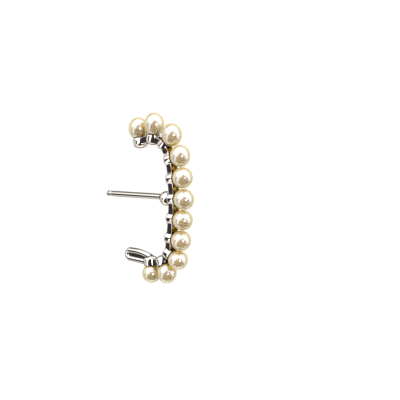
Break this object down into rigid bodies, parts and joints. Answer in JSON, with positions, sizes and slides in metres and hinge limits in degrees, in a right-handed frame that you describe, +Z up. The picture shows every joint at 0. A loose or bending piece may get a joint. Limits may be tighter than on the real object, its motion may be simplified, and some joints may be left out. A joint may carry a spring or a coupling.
{
  "type": "pearl hook earring",
  "caption": "Hook earring with a curved row of cup-set pearls, a straight ear post behind the middle pearl and a folded wire loop at the lower end.",
  "frame": {"origin": "middle of the earring's outer box, on the surface that it lies on", "axes": "+X towards the front, where the pearls face; +Y towards the top of the hook; +Z up, square to the plane of the hook, because the earring lies on its side. The ear post points along -X."},
  "size_m": [0.0166, 0.0252, 0.003],
  "materials": {
    "polished_metal": "silver with a mirror-polished rhodium plating",
    "pearl": "cream nacre with a soft satin lustre and a golden rim"
  },
  "bodies": {
    "root": {"ear_hook": "polished_metal", "pearl_01": "pearl", "pearl_02": "pearl", "pearl_03": "pearl", "pearl_04": "pearl", "pearl_05": "pearl", "pearl_06": "pearl", "pearl_07": "pearl", "pearl_08": "pearl", "pearl_09": "pearl", "pearl_10": "pearl", "pearl_11": "pearl"}
  },
  "joints": []
}
